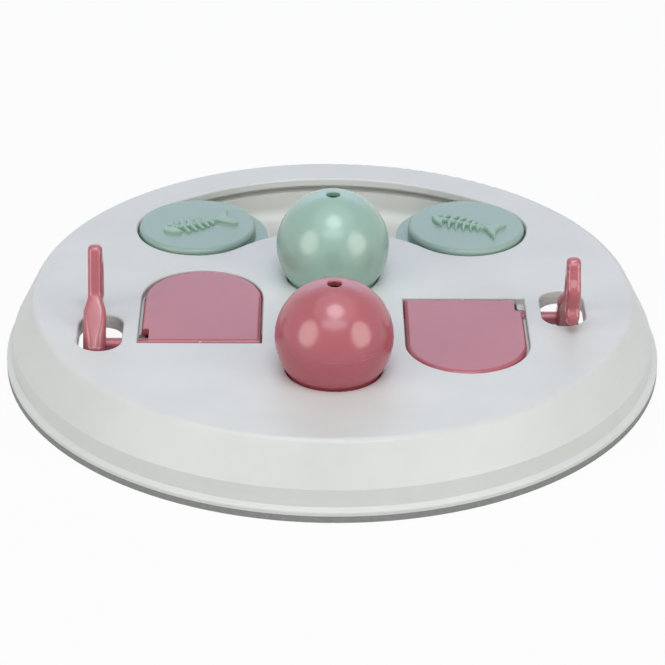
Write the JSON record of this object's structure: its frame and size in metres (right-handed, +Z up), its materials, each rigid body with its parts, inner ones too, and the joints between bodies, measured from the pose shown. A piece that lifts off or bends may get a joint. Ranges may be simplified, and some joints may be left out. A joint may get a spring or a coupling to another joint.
{
  "type": "cat puzzle board",
  "caption": "Round food puzzle for cats: sliding discs in an arc-shaped trough, lift-off hollow domes, and flaps over treat wells that are opened by hook-shaped levers.",
  "frame": {"origin": "middle of the board on the table, on the axis of its round rim", "axes": "+Z up from the table; +Y towards the back, where the two discs slide; +X to the right as seen from the front"},
  "size_m": [0.25, 0.25, 0.0619],
  "materials": {
    "cover_plastic": "pale grey-white, fine satin texture",
    "tray_plastic": "pale grey-white, satin",
    "ring_rubber": "mid-grey matt non-slip rubber",
    "screw_steel": "zinc-plated",
    "green_plastic": "sage green, semi-gloss",
    "rose_plastic": "dusty rose, semi-gloss"
  },
  "bodies": {
    "board": {"top_cover": "cover_plastic", "slide_trough": "tray_plastic", "left_well": "tray_plastic", "right_well": "tray_plastic", "bowl_pair": "tray_plastic", "anti_slip_ring": "ring_rubber", "cover_screws": "screw_steel"},
    "left_disc": {"left_slider": "green_plastic"},
    "right_disc": {"right_slider": "green_plastic"},
    "green_lid": {"green_dome": "green_plastic"},
    "rose_lid": {"rose_dome": "rose_plastic"},
    "left_flap_unit": {"left_flap": "rose_plastic", "left_lever": "rose_plastic"},
    "right_flap_unit": {"right_flap": "rose_plastic", "right_lever": "rose_plastic"}
  },
  "joints": [
    {"name": "left_disc_slide", "type": "hinge", "parent": "board", "child": "left_disc", "pos_m": [0, 0, 0], "axis": [0, 0, 1], "range_deg": [-22.5, 0]},
    {"name": "right_disc_slide", "type": "hinge", "parent": "board", "child": "right_disc", "pos_m": [0, 0, 0], "axis": [0, 0, 1], "range_deg": [0, 22.5]},
    {"name": "green_dome_lift", "type": "slide", "parent": "board", "child": "green_lid", "axis": [0, 0, 1], "range_m": [0, 0.045]},
    {"name": "rose_dome_lift", "type": "slide", "parent": "board", "child": "rose_lid", "axis": [0, 0, 1], "range_m": [0, 0.045]},
    {"name": "left_flap_hinge", "type": "hinge", "parent": "board", "child": "left_flap_unit", "pos_m": [-0.0496, -0.0359, 0.0226], "axis": [1, 0, 0], "range_deg": [0, 72]},
    {"name": "right_flap_hinge", "type": "hinge", "parent": "board", "child": "right_flap_unit", "pos_m": [0.0496, -0.0139, 0.0226], "axis": [-1, 0, 0], "range_deg": [0, 72]}
  ]
}
